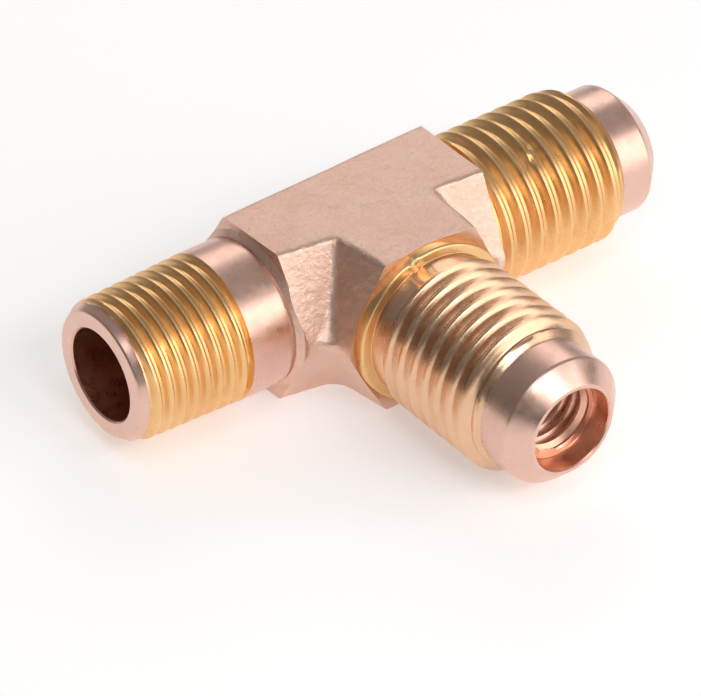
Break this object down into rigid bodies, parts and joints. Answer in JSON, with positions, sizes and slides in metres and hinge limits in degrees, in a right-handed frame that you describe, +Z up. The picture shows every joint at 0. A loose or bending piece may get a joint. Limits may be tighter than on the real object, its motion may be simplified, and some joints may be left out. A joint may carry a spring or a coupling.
{
  "type": "flare access tee",
  "caption": "Forged brass tee with a tapered pipe-thread end, two flare-thread ends and a screw-in spring valve core in the branch.",
  "frame": {"origin": "centre of the forging's flat underside, straight below the point where the three arms' axes cross", "axes": "+X along the straight run, from the pipe-thread end at -X to the flare end at +X; -Y along the branch, towards its flare mouth; +Z up, out of the flat top"},
  "size_m": [0.0434, 0.0289, 0.0118],
  "materials": {
    "forged_brass": "forged and pickled, satin, with machined ends",
    "machined_brass": "turned, bright",
    "spring_steel": "drawn wire",
    "white_seal": "smooth fluoropolymer",
    "black_rubber": "matt"
  },
  "bodies": {
    "body": {"tee_body": "forged_brass"},
    "core": {"core_barrel": "machined_brass", "core_seat_ring": "white_seal", "core_spring": "spring_steel"},
    "plug": {"core_plug": "machined_brass"},
    "pin": {"valve_pin": "machined_brass", "spring_washer": "machined_brass", "valve_cup": "machined_brass", "cup_seal": "black_rubber"}
  },
  "joints": [
    {"name": "core_travel", "type": "slide", "parent": "body", "child": "core", "axis": [0, -1, 0], "range_m": [0, 0.0048]},
    {"name": "plug_turn", "type": "hinge", "parent": "core", "child": "plug", "pos_m": [0, -0.0168, 0.0059], "axis": [0, -1, 0], "range_deg": [0, 2160]},
    {"name": "pin_press", "type": "slide", "parent": "core", "child": "pin", "axis": [0, 1, 0], "range_m": [0, 0.0012], "stiffness_N_per_m": 2000, "springref_m": -0.001, "deforming": ["core_spring"]}
  ],
  "couplings": [
    {"joint": "plug_turn", "follows": "core_travel", "rad_per_m": 7854}
  ]
}
